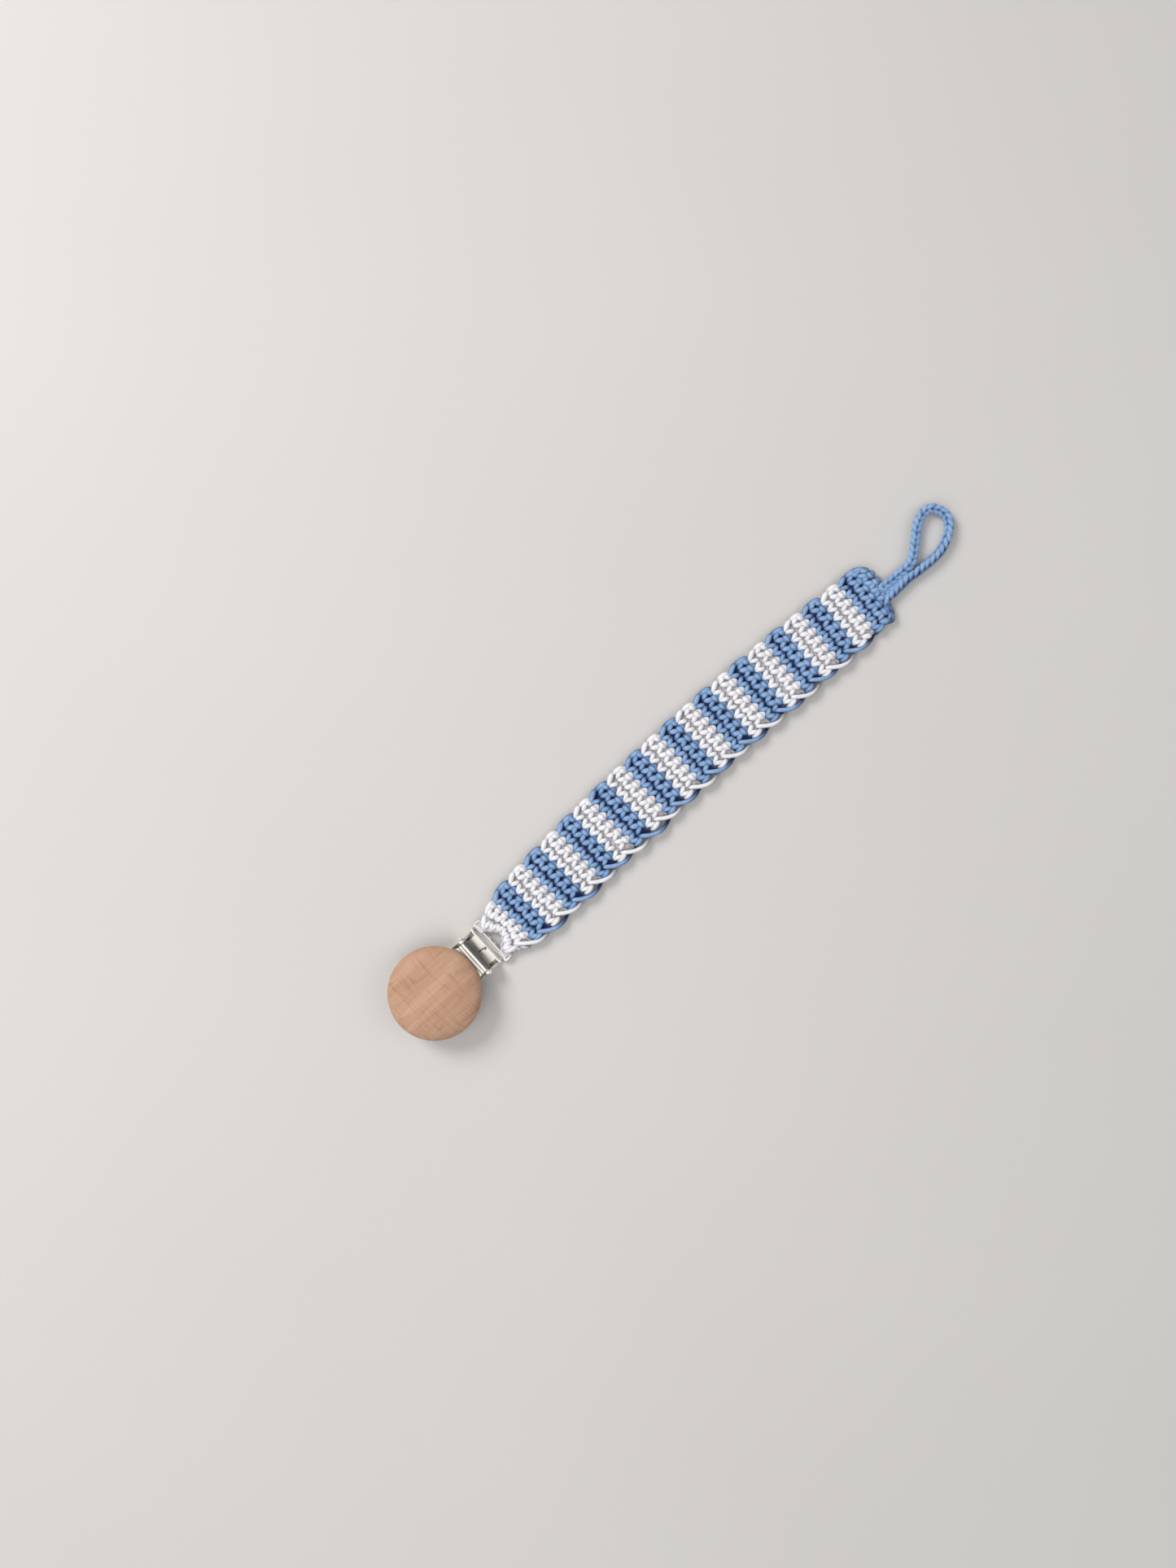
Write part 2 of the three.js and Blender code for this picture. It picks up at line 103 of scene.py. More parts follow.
# ---------- materials ----------
class Nodes:
    """Short way to build a node tree: each call adds a node and returns its first output."""

    def __init__(self, name):
        self.material = bpy.data.materials.new(name)
        self.material.use_nodes = True
        self.tree = self.material.node_tree
        self.shader = self.tree.nodes["Principled BSDF"]

    def add(self, kind, inputs=(), output=0, **settings):
        node = self.tree.nodes.new(kind)
        for key, value in settings.items():
            setattr(node, key, value)
        for key, value in dict(inputs).items():
            self.put(node.inputs[key], value)
        return node.outputs[output]

    def put(self, socket, value):
        if isinstance(value, bpy.types.NodeSocket):
            self.tree.links.new(value, socket)
        else:
            socket.default_value = value

    def math(self, operation, a, b=0.0):
        return self.add("ShaderNodeMath", {0: a, 1: b}, operation=operation)

    def ramp(self, value, stops):
        output = self.add("ShaderNodeValToRGB", {0: value})
        ramp = output.node.color_ramp
        while len(ramp.elements) < len(stops):
            ramp.elements.new(0.5)
        for element, (place, colour) in zip(ramp.elements, stops):
            element.position = place
            element.color = (*colour, 1)
        return output

    def mix(self, share, a, b, blend="MIX"):
        node = self.tree.nodes.new("ShaderNodeMix")
        node.data_type = "RGBA"
        node.blend_type = blend
        for key, value in ((0, share), (6, a), (7, b)):
            if isinstance(value, tuple):
                value = (*value, 1)
            self.put(node.inputs[key], value)
        return node.outputs[2]

    def noise(self, vector, scale, detail=3.0, roughness=0.5, output=0):
        inputs = {"Vector": vector, "Scale": scale, "Detail": detail, "Roughness": roughness}
        return self.add("ShaderNodeTexNoise", inputs, output=output)

    def bump(self, height, strength, distance, under=None):
        inputs = {"Height": height, "Strength": strength, "Distance": distance}
        if under is not None:
            inputs["Normal"] = under
        return self.add("ShaderNodeBump", inputs)

    def place(self, scale=(1, 1, 1), rotation=(0, 0, 0), source="Object"):
        coordinates = self.tree.nodes.new("ShaderNodeTexCoord").outputs[source]
        return self.add("ShaderNodeMapping", {"Vector": coordinates, "Scale": scale, "Rotation": rotation})

    def finish(self, **inputs):
        for key, value in inputs.items():
            self.put(self.shader.inputs[key.replace("_", " ")], value)
        return self.material


def linear(red, green, blue):
    """An sRGB colour, 0 to 255, as the linear values that shaders use."""
    return tuple(((c / 255 + 0.055) / 1.055) ** 2.4 if c > 10 else c / 3294.6 for c in (red, green, blue))


PLIES = 5
PLY_TURNS, FIBRE_TURNS = 0.36, 0.5      # turns round the strand in each millimetre


def yarn_material(name, deep, dark, middle, light, painted_highlight):
    """Mercerised cotton: plies and fine fibres round the strand, with painted shade and a painted highlight.

    The colours run from the deepest to the palest: painted shade deep in the cloth, painted shade in the
    grooves between plies, the yarn's own middle and light tones, and a painted highlight on the crests."""
    n = Nodes(name)
    uv = n.tree.nodes.new("ShaderNodeUVMap")
    uv.uv_map = "strand"
    split = n.add("ShaderNodeSeparateXYZ", {0: uv.outputs[0]})
    along = split
    round_it = split.node.outputs[1]
    turns = n.math("ADD", n.math("MULTIPLY", along, PLY_TURNS), round_it)
    ply = n.math("MULTIPLY", turns, 2 * math.pi * PLIES)
    wave = n.math("ABSOLUTE", n.math("SINE", n.math("MULTIPLY", ply, 0.5)))
    crown = n.math("POWER", wave, 0.35)
    fibre_turns = n.math("ADD", n.math("MULTIPLY", along, FIBRE_TURNS), round_it)
    fibre_along = n.math("MULTIPLY", along, 0.6)
    fibre_round = n.math("MULTIPLY", fibre_turns, 26.0)
    fibres = n.noise(n.add("ShaderNodeCombineXYZ", {0: fibre_along, 1: fibre_round}), 1.6, 2.0)
    patches = n.noise(n.place(), 420.0, 3.0)
    # this attribute sets the painted shade deep in the yarn and the painted highlight on its crests
    depth = n.add("ShaderNodeAttribute", attribute_name="painted_shading", output=2)
    tone = n.math("ADD", n.math("MULTIPLY", fibres, 0.35), n.math("MULTIPLY", patches, 0.65))
    surface = n.ramp(tone, [(0.36, middle), (0.62, light)])
    # painted shade in the grooves between plies
    plies = n.mix(crown, dark, surface)
    # painted shade deep in the cloth, where the attribute is low
    colour = n.mix(n.math("MULTIPLY", depth, 1.3), deep, plies)
    # painted highlight on the crests of the strands, where the attribute is near 1
    crest = n.math("MULTIPLY", n.math("SUBTRACT", depth, 0.72), 2.0)
    colour = n.mix(crest, colour, n.mix(crown, surface, painted_highlight))
    fuzz = n.bump(fibres, 0.25, 0.00005)
    bump = n.bump(crown, 0.32, 0.00009, under=fuzz)
    return n.finish(Base_Color=colour, Roughness=0.62, Normal=bump, Sheen_Weight=0.35, Sheen_Roughness=0.4,
                    Specular_IOR_Level=0.35)


def core_material(name, colour, dimming):
    n = Nodes(name)
    patches = n.noise(n.place(), 900.0, 4.0)
    dim = tuple(c * dimming for c in colour)
    colour = n.mix(patches, dim, colour)
    return n.finish(Base_Color=colour, Roughness=0.95, Normal=n.bump(patches, 0.8, 0.0003))


# painted shade: the near-black colour laid over the steel where it lies in shade, and its strength
PAINTED_SHADE_COLOUR, PAINTED_SHADE_SHARE = (0.10, 0.095, 0.09), 0.8


def steel_material(name, tint=(0.93, 0.90, 0.83), roughness=0.3, shaded_region=()):
    """Plated sheet: faint rolling lines, small dents and duller smudges, and near-black painted shade.

    The painted shade's region is given as limits (axis, place, fade), in metres. It lies above each
    place, or below it where the fade is negative."""
    n = Nodes(name)
    lines = n.noise(n.place((1, 40, 40)), 60.0, 4.0)
    smudges = n.noise(n.place(), 240.0, 4.0, 0.6)
    dents = n.noise(n.place(), 900.0, 2.0)
    rough = n.math("ADD", n.math("MULTIPLY", smudges, 0.22), roughness - 0.09)
    colour = n.ramp(smudges, [(0.3, tuple(0.8 * c for c in tint)), (0.7, tint)])
    if shaded_region:
        place_in = n.add("ShaderNodeSeparateXYZ", {0: n.place()}).node
        share = PAINTED_SHADE_SHARE
        for axis, limit, fade in shaded_region:
            limits = {0: place_in.outputs[axis], 1: limit - fade, 2: limit + fade}
            inside = n.add("ShaderNodeMapRange", limits)
            share = n.math("MULTIPLY", share, inside)
        # painted shade over the listed region
        colour = n.mix(share, colour, PAINTED_SHADE_COLOUR)
    bump = n.bump(dents, 0.12, 0.00006, under=n.bump(lines, 0.10, 0.00003))
    return n.finish(Base_Color=colour, Metallic=1.0, Roughness=rough, Normal=bump)


def plastic_material(name):
    n = Nodes(name)
    grain = n.noise(n.place(), 1800.0, 3.0)
    cloud = n.noise(n.place(), 120.0, 2.0)
    colour = n.mix(cloud, linear(226, 225, 218), linear(242, 241, 236))
    rough = n.math("ADD", n.math("MULTIPLY", grain, 0.12), 0.42)
    return n.finish(Base_Color=colour, Roughness=rough, Normal=n.bump(grain, 0.15, 0.00003),
                    Subsurface_Weight=0.08, Subsurface_Radius=(0.001, 0.001, 0.0009))


# the one fine line across the wooden face (metres)
CHECK_X, CHECK_Y = -0.0131, -0.0017
CHECK_HALF_LENGTH, CHECK_HALF_WIDTH = 0.0062, 0.00009
CHECK_WAVER, CHECK_WAVES = 0.00012, 420.0


def beech_material(name):
    """Sanded beech with its grain along the strap, short flecks across it and one fine check line."""
    n = Nodes(name)
    bend = n.noise(n.place((30, 60, 60)), 1.0, 2.0, output=1)
    coordinates = n.place()
    small_bend = n.mix(0.9985, bend, (0.5, 0.5, 0.5))
    shifted = n.add("ShaderNodeVectorMath", {0: coordinates, 1: small_bend}, operation="ADD")
    along = n.add("ShaderNodeMapping", {"Vector": shifted, "Scale": (45, 1700, 500)})
    grain = n.noise(along, 1.0, 4.0, 0.6)
    bands = n.noise(n.add("ShaderNodeMapping", {"Vector": shifted, "Scale": (9, 240, 120)}), 1.0, 2.0)
    across = n.add("ShaderNodeMapping", {"Vector": shifted, "Scale": (2400, 260, 600)})
    flecks = n.noise(across, 1.0, 2.0, 0.5)
    fleck_spots = n.noise(coordinates, 170.0, 2.0)
    base = n.ramp(bands, [(0.34, linear(184, 143, 116)), (0.5, linear(192, 152, 125)),
                          (0.68, linear(201, 163, 137))])
    lines = n.ramp(grain, [(0.34, (0.68, 0.61, 0.56)), (0.52, (1, 1, 1))])
    colour = n.mix(0.3, base, lines, "MULTIPLY")
    small = n.ramp(flecks, [(0.30, (0.56, 0.46, 0.40)), (0.42, (1, 1, 1))])
    share = n.math("MULTIPLY", n.ramp(fleck_spots, [(0.42, (0, 0, 0)), (0.62, (1, 1, 1))]), 0.45)
    colour = n.mix(share, colour, small, "MULTIPLY")

    # sanding marks and open pores: fine lines along the grain and across it, in patches
    for scale, patch_scale in (((24, 640, 50), 140.0), ((640, 30, 50), 110.0)):
        marks = n.noise(n.add("ShaderNodeMapping", {"Vector": coordinates, "Scale": scale}), 1.0, 2.0)
        off_mark = n.math("ABSOLUTE", n.math("SUBTRACT", marks, 0.5))
        thin = n.ramp(off_mark, [(0.0, (1, 1, 1)), (0.03, (0, 0, 0))])
        patch = n.ramp(n.noise(coordinates, patch_scale, 2.0), [(0.40, (0, 0, 0)), (0.58, (1, 1, 1))])
        share = n.math("MULTIPLY", n.math("MULTIPLY", thin, patch), 0.42)
        colour = n.mix(share, colour, linear(132, 88, 62))

    # one thin line across the grain, a little towards the clip from the middle
    split = n.add("ShaderNodeSeparateXYZ", {0: shifted})
    wave = n.math("SINE", n.math("MULTIPLY", split.node.outputs[1], CHECK_WAVES))
    waver = n.math("MULTIPLY", wave, CHECK_WAVER)
    off_line = n.math("ABSOLUTE", n.math("ADD", n.math("SUBTRACT", split.node.outputs[0], CHECK_X), waver))
    thin = n.math("LESS_THAN", off_line, CHECK_HALF_WIDTH)
    off_middle = n.math("ABSOLUTE", n.math("SUBTRACT", split.node.outputs[1], CHECK_Y))
    middle = n.math("LESS_THAN", off_middle, CHECK_HALF_LENGTH)
    line = n.math("MULTIPLY", n.math("MULTIPLY", thin, middle), 0.6)
    colour = n.mix(line, colour, linear(120, 78, 55))
    rough = n.math("ADD", n.math("MULTIPLY", grain, 0.16), 0.50)
    bump = n.bump(grain, 0.16, 0.0001, under=n.bump(flecks, 0.08, 0.00005))
    return n.finish(Base_Color=colour, Roughness=rough, Normal=bump, Specular_IOR_Level=0.35)


def floor_material(name):
    n = Nodes(name)
    cloud = n.noise(n.place(), 6.0, 3.0)
    colour = n.mix(cloud, linear(206, 203, 200), linear(212, 209, 206))
    return n.finish(Base_Color=colour, Roughness=0.75, Specular_IOR_Level=0.2)


# ---------- strap coordinates ----------
def strap_width(x):
    start = START_TAPER * np.exp(-(x - START_X) / START_TAPER_LENGTH)
    late = np.maximum(0, (x - END_TAPER_FROM_X) / (END_X - END_TAPER_FROM_X))
    return STRAP_WIDTH - start - END_TAPER * late ** 2


def bow(x):
    return BOW * np.sin(math.pi * (x - BOW_START_X) / BOW_SPAN)


def bow_angle(x):
    return np.arctan(BOW * math.pi / BOW_SPAN * np.cos(math.pi * (x - BOW_START_X) / BOW_SPAN))


def on_strap(u, v):
    """x and y of a point u across the strap and v along it from its first blue stripe."""
    x = START_X + v
    width = np.clip(strap_width(np.maximum(x, START_X)) / STRAP_WIDTH, 0.8, 1)
    angle = bow_angle(x)
    return x - u * width * np.sin(angle), bow(x) + u * width * np.cos(angle)


FAN = 2 * ROW                 # rows before the first blue stripe spread like a fan from the clip's bar
FAN_APEX_X = 11.4
FAN_ARM = (7.9, 5.35)         # where the outermost stitches start, on the arms
FAN_HALF_U = 10.0
FAN_CURVE = 1.2


def place(points):
    """Strap coordinates (u, v, z) to the row frame, in millimetres."""
    u, v, z = points[:, 0], points[:, 1], points[:, 2]
    x, y = on_strap(u, np.maximum(v, 0))
    share = np.clip(-v / FAN, 0, 1.15)
    q = u / FAN_HALF_U
    foot_x = FAN_APEX_X - (FAN_APEX_X - FAN_ARM[0]) * np.abs(q) ** FAN_CURVE
    foot_y = FAN_ARM[1] * q + bow(FAN_APEX_X)
    x = x + (foot_x - x) * share
    y = y + (foot_y - y) * share
    return np.column_stack([x, y, MIDDLE_Z + z])


# ---------- stitches ----------
# One single crochet in its own row: a across in the working direction (stitch widths), b up (rows),
# c towards the row's own face (millimetres), and the strand's radius (millimetres).
DOWN = [(-0.42, 0.40, -0.15, 0.58), (-0.33, 0.26, -0.64, 0.74), (-0.25, 0.04, -0.82, 0.84),
        (-0.16, -0.16, -0.62, 0.72), (-0.07, -0.21, 0.0, 0.58)]
LEGS = [(-0.08, -0.12, 0.55, 0.62), (-0.13, 0.06, 0.80, 0.75), (-0.24, 0.27, 0.84, 0.83),
        (-0.33, 0.45, 0.55, 0.73), (-0.28, 0.60, -0.05, 0.60), (0.0, 0.66, -0.20, 0.58)]
LEG_BACK = [(0.28, 0.60, -0.05, 0.60), (0.33, 0.45, 0.55, 0.73), (0.24, 0.27, 0.84, 0.83),
            (0.13, 0.06, 0.80, 0.75), (0.08, -0.12, 0.55, 0.62), (0.06, -0.22, 0.0, 0.58)]
# the second leg of a row's last stitch reaches up along the edge
LEG_OUTER = [(0.46, 0.78, -0.05, 0.64), (0.60, 0.72, 0.48, 0.78), (0.50, 0.46, 0.80, 0.92),
             (0.28, 0.12, 0.86, 0.84), (0.12, -0.12, 0.60, 0.66), (0.06, -0.22, 0.0, 0.58)]
RISE = [(0.10, -0.23, -0.50, 0.70), (0.21, -0.10, -0.84, 0.88), (0.33, 0.10, -0.90, 0.95),
        (0.44, 0.27, -0.66, 0.82), (0.42, 0.40, -0.15, 0.60)]
CAP = [(0.24, 0.64, -0.10, 0.62), (0.34, 0.84, -0.44, 0.74), (0.56, 0.92, -0.50, 0.80),
       (0.78, 0.76, -0.40, 0.70), (0.79, 0.60, -0.60, 0.76), (0.55, 0.54, -0.84, 0.90),
       (0.30, 0.53, -0.66, 0.78), (0.34, 0.44, -0.25, 0.60)]
# the turning chain that a row starts with, at its edge
TURN = [(-0.58, -0.30, 0.0, 0.66), (-0.60, 0.0, -0.50, 0.90), (-0.56, 0.34, -0.70, 1.02),
        (-0.50, 0.68, -0.50, 0.90), (-0.42, 0.86, -0.05, 0.66), (-0.48, 0.74, 0.46, 0.80),
        (-0.55, 0.44, 0.66, 0.92), (-0.58, 0.10, 0.50, 0.82), (-0.50, -0.10, 0.10, 0.64),
        (-0.46, 0.16, -0.20, 0.60)]
# and the bight between that chain and the first stitch
EDGE_CAP = [(-0.44, 0.50, -0.10, 0.60), (-0.42, 0.74, -0.34, 0.68), (-0.28, 0.87, -0.50, 0.78),
            (-0.08, 0.79, -0.46, 0.74), (-0.06, 0.62, -0.62, 0.78), (-0.24, 0.54, -0.84, 0.90),
            (-0.38, 0.42, -0.66, 0.76)]
# how a front row ends, on its way to the turning chain of the row behind
FRONT_END = [(0.07, -0.24, -0.55, 0.64), (0.17, -0.08, -0.80, 0.74), (0.32, 0.16, -0.80, 0.74),
             (0.46, 0.45, -0.50, 0.66)]
# how a back row ends: the strand is drawn across the edge and carried up past the other colour
CARRY = [(0.08, -0.26, -0.60, 0.66), (0.20, -0.08, -1.05, 0.70), (0.50, 0.28, -1.12, 0.70),
         (0.82, 0.80, -0.95, 0.70), (0.99, 1.35, -0.65, 0.68), (0.98, 1.85, -0.25, 0.66),
         (0.84, 2.35, 0.20, 0.62), (0.66, 2.72, 0.40, 0.60)]

# or, where no other row follows, it is fastened off inside the cloth
TAIL = [(0.38, 0.60, -0.20, 0.62), (0.24, 0.72, -0.30, 0.62), (0.04, 0.66, -0.10, 0.56)]


# how uneven the hand work is: millimetres, but a share of the radius for the tension and of a stitch along
# a chain
STITCH_WOBBLE, TENSION_WOBBLE, CARRY_WOBBLE, CHAIN_WOBBLE = 0.14, 0.025, 0.25, 0.05


def row_points(row, front, columns=COLUMNS, carry=True):
    """The strand's points through one row of stitches. A front row runs to +u, and a back row comes back."""
    side = 1 if front else -1
    points = []

    def put(part, column, wobble=(0, 0), tension=1.0):
        for a, b, c, radius in part:
            u = side * (FIRST_COLUMN + (a + column) * STITCH)
            if not front:
                u += 2 * FIRST_COLUMN + (COLUMNS - 1) * STITCH
            points.append((u + wobble[0], row * ROW + b * ROW + wobble[1], side * c, radius * tension))

    put(TURN + EDGE_CAP, 0)
    for column in range(columns):
        wobble = random.normal(0, STITCH_WOBBLE, 2)
        tension = random.normal(1, TENSION_WOBBLE)
        put(DOWN if column else DOWN[1:], column, wobble, tension)
        put(LEGS, column, wobble, tension)
        put(LEG_BACK if column < COLUMNS - 1 else LEG_OUTER, column, wobble, tension)
        if column < columns - 1:
            put(RISE, column, wobble, tension)
            put(CAP, column, 0.5 * wobble, tension)
    last = columns - 1
    if front:
        put(FRONT_END, last)
    elif carry:
        put(CARRY, last, random.normal(0, CARRY_WOBBLE, 2))
    else:
        put(RISE, last)
        put(TAIL, last)
    return points


def smooth(points, step):
    """A Catmull-Rom curve through the points, with a point every step of its length."""
    p = np.asarray(points, float)
    ends = np.vstack([2 * p[0] - p[1], p, 2 * p[-1] - p[-2]])
    t = np.linspace(0, 1, 8, endpoint=False)[:, None]
    pieces = []
    for before, start, end, after in zip(ends, ends[1:], ends[2:], ends[3:]):
        slope = end - before
        bend = 2 * before - 5 * start + 4 * end - after
        twist = 3 * start - before - 3 * end + after
        pieces.append(0.5 * (2 * start + slope * t + bend * t ** 2 + twist * t ** 3))
    line = np.vstack(pieces + [p[-1:]])
    lengths = np.linalg.norm(np.diff(line[:, :3], axis=0), axis=1)
    travelled = np.concatenate([[0], np.cumsum(lengths)])
    count = max(4, int(round(travelled[-1] / step)) + 1)
    stops = np.linspace(0, travelled[-1], count)
    return np.column_stack([np.interp(stops, travelled, line[:, k]) for k in range(line.shape[1])])


# ---------- meshes ----------
def link(name, mesh, material):
    piece = bpy.data.objects.new(name, mesh)
    bpy.context.scene.collection.objects.link(piece)
    mesh.materials.append(material)
    return piece


def strands(name, lines, material, sides=8, painted_shading=None):
    """One mesh of closed round strands. Each line has points x, y, z and radius in millimetres."""
    verts, faces, uvs, shades = [], [], [], []
    for line in lines:
        p, radius = line[:, :3], line[:, 3]
        tangent = np.gradient(p, axis=0)
        tangent /= np.linalg.norm(tangent, axis=1)[:, None]
        normal = np.zeros_like(p)
        reference = np.array([0, 0, 1.0]) if abs(tangent[0, 2]) < 0.9 else np.array([1.0, 0, 0])
        for i in range(len(p)):
            reference = reference - tangent[i] * tangent[i].dot(reference)
            reference /= np.linalg.norm(reference)
            normal[i] = reference
        across = np.cross(tangent, normal)
        angle = np.linspace(0, 2 * math.pi, sides, endpoint=False)
        cosine, sine = np.cos(angle)[None, :, None], np.sin(angle)[None, :, None]
        ring = cosine * normal[:, None, :] + sine * across[:, None, :]
        points = p[:, None, :] + radius[:, None, None] * ring
        travelled = np.concatenate([[0], np.cumsum(np.linalg.norm(np.diff(p, axis=0), axis=1))])
        first = len(verts)
        verts.extend((points.reshape(-1, 3) * MM).tolist())
        # painted shading for each vertex: low values give painted shade, the highest a painted highlight
        shade = painted_shading(points) if painted_shading else np.ones(points.shape[:2])
        shades.extend(shade.reshape(-1).tolist())
        for i in range(len(p) - 1):
            for k in range(sides):
                k2 = (k + 1) % sides
                low, high = first + i * sides, first + (i + 1) * sides
                faces.append((low + k, low + k2, high + k2, high + k))
                s0, s1 = travelled[i], travelled[i + 1]
                a0, a1 = k / sides, (k + 1) / sides
                uvs.extend(((s0, a0), (s0, a1), (s1, a1), (s1, a0)))
        for start, turn in ((0, -1), (len(p) - 1, 1)):
            cap = [first + start * sides + k for k in range(sides)]
            faces.append(tuple(cap[::turn]))
            uvs.extend((travelled[start], k / sides) for k in range(sides))
    mesh = bpy.data.meshes.new(name)
    mesh.from_pydata(verts, [], faces)
    mesh.polygons.foreach_set("use_smooth", [True] * len(faces))
    layer = mesh.uv_layers.new(name="strand")
    layer.data.foreach_set("uv", np.array(uvs, np.float32).reshape(-1))
    attribute = mesh.attributes.new("painted_shading", "FLOAT", "POINT")
    attribute.data.foreach_set("value", np.array(shades, np.float32))
    mesh.update()
    return link(name, mesh, material)


DEEP_Z, DEEP_SPAN = 0.45, 1.25          # painted shade darkens the cloth near its middle, none past the span
CORD_DEEP = 0.75                        # and painted shade darkens the cord this near its middle line


def ease(t):
    t = np.clip(t, 0, 1)
    return t * t * (3 - 2 * t)


def cloth_depth(points):
    """0 deep between the two faces of the cloth, 1 at its faces.

    Low values get painted shade, the highest a painted highlight.
    """
    return ease((np.abs(points[..., 2] - MIDDLE_Z) - DEEP_Z) / DEEP_SPAN)


YARN_STEP = 0.42              # length of a strand's facets


def laid(line):
    """A strand of the strap in place, with its underside pressed flat on the table."""
    line[:, 2] = np.maximum(line[:, 2], line[:, 3] - MIDDLE_Z + TABLE_GAP)
    return np.column_stack([place(line), line[:, 3]])


def stripe_yarn(first_row, carry=True):
    points = row_points(first_row, True) + row_points(first_row + 1, False, carry=carry)
    return laid(smooth(points, YARN_STEP))


CORE_CELL = 1.3
CORE_HALF_U, CORE_HALF_Z = 10.2, 0.42
CORE_START_V = -6.0           # where the inside begins, in the fan beside the arms
CORE_END_V = END_X - START_X + 7.4


def core(name, from_v, to_v, materials):
    """The flat inside of the cloth, seen only through the gaps between strands.

    Its colours are darker than the yarn's, as painted shade in the gaps.
    """
    rows = int(round((to_v - from_v) / CORE_CELL)) + 1
    v = np.linspace(from_v, to_v, rows)
    u = np.linspace(-CORE_HALF_U, CORE_HALF_U, 17)
    grid_u, grid_v = np.meshgrid(u, v)
    edge = np.sqrt(np.clip(1 - (np.abs(grid_u) / CORE_HALF_U) ** 8, 0, 1)) * 0.8 + 0.2
    mesh = bpy.data.meshes.new(name)
    body = bmesh.new()
    layers = []
    for side in (1, -1):
        flat = np.column_stack([grid_u.ravel(), grid_v.ravel(), (side * CORE_HALF_Z * edge).ravel()])
        layers.append([body.verts.new(p) for p in place(flat) * MM])
    columns = len(u)
    for r in range(rows - 1):
        stripe = int(math.floor((v[r] + v[r + 1]) / 2 / STRIPE))
        slot = stripe % 2
        for c in range(columns - 1):
            near, far = r * columns + c, (r + 1) * columns + c
            ids = [near, near + 1, far + 1, far]
            body.faces.new([layers[0][i] for i in ids]).material_index = slot
            body.faces.new([layers[1][i] for i in reversed(ids)]).material_index = slot
    rim = list(range(columns)) + [r * columns + columns - 1 for r in range(1, rows)]
    rim += [(rows - 1) * columns + c for c in range(columns - 2, -1, -1)]
    rim += [r * columns for r in range(rows - 2, 0, -1)]
    for a, b in zip(rim, rim[1:] + rim[:1]):
        body.faces.new((layers[0][b], layers[0][a], layers[1][a], layers[1][b]))
    bmesh.ops.recalc_face_normals(body, faces=body.faces)
    body.to_mesh(mesh)
    body.free()
    mesh.polygons.foreach_set("use_smooth", [True] * len(mesh.polygons))
    piece = link(name, mesh, materials[0])
    mesh.materials.append(materials[1])
    return piece


# ---------- the chain cord ----------
# One chain stitch: a across, b along the cord in stitches, c towards its face, radius.
CHAIN_PITCH = 2.15
CHAIN_STEP = 0.36
ARM_CHAIN, EDGE_CHAIN = (0.85, 1.9), (0.95, 2.2)      # size and pitch of the finer chains
CHAIN = [(0.0, -0.25, -0.62, 0.56), (-0.12, -0.30, 0.05, 0.52), (-0.30, 0.15, 0.60, 0.62),
         (-0.72, 0.75, 0.50, 0.68), (-0.66, 1.25, -0.12, 0.58), (0.0, 1.45, -0.42, 0.52),
         (0.66, 1.25, -0.12, 0.58), (0.72, 0.75, 0.50, 0.68), (0.30, 0.15, 0.60, 0.62),
         (0.12, -0.30, 0.05, 0.52), (0.0, 0.10, -0.62, 0.60)]


def frames_along(route):
    """Level frames of a route of x, y, z points: its tangents and its sideways and upward directions."""
    tangent = np.gradient(route, axis=0)
    tangent /= np.linalg.norm(tangent, axis=1)[:, None]
    sideways = np.column_stack([-tangent[:, 1], tangent[:, 0], np.zeros(len(route))])
    sideways /= np.linalg.norm(sideways, axis=1)[:, None]
    return tangent, sideways, np.cross(tangent, sideways)


def chain_along(route, roll, size=1.0, stitch=CHAIN_PITCH):
    """A chain-stitch strand along a route. roll turns its face round the route, in radians, end to end."""
    fine = smooth(route, 0.2)
    tangent, sideways, up = frames_along(fine)
    travelled = np.concatenate([[0], np.cumsum(np.linalg.norm(np.diff(fine, axis=0), axis=1))])
    count = int(travelled[-1] / stitch)
    pitch = travelled[-1] / count
    points = []
    for k in range(count):
        wobble = random.normal(0, CHAIN_WOBBLE, 2)
        for a, b, c, radius in CHAIN:
            points.append((a + wobble[0], (k + b + wobble[1]) * pitch, c, radius))
    p = np.array(points)
    at = np.clip(p[:, 1], 0, travelled[-1])
    beyond = (p[:, 1] - at)[:, None]

    def follow(values):
        return np.column_stack([np.interp(at, travelled, values[:, k]) for k in range(3)])

    roll_at = np.interp(np.linspace(0, 1, len(fine)), np.linspace(0, 1, len(roll)), roll)
    angle = np.interp(at, travelled, roll_at)
    a = size * (p[:, 0] * np.cos(angle) - p[:, 2] * np.sin(angle))
    c = size * (p[:, 0] * np.sin(angle) + p[:, 2] * np.cos(angle))
    middle = follow(fine) + follow(tangent) * beyond
    out = middle + follow(sideways) * a[:, None] + follow(up) * c[:, None]
    line = smooth(np.column_stack([out, p[:, 3] * size]), CHAIN_STEP)
    line[:, 2] = np.maximum(line[:, 2], line[:, 3] + TABLE_GAP)
    return line


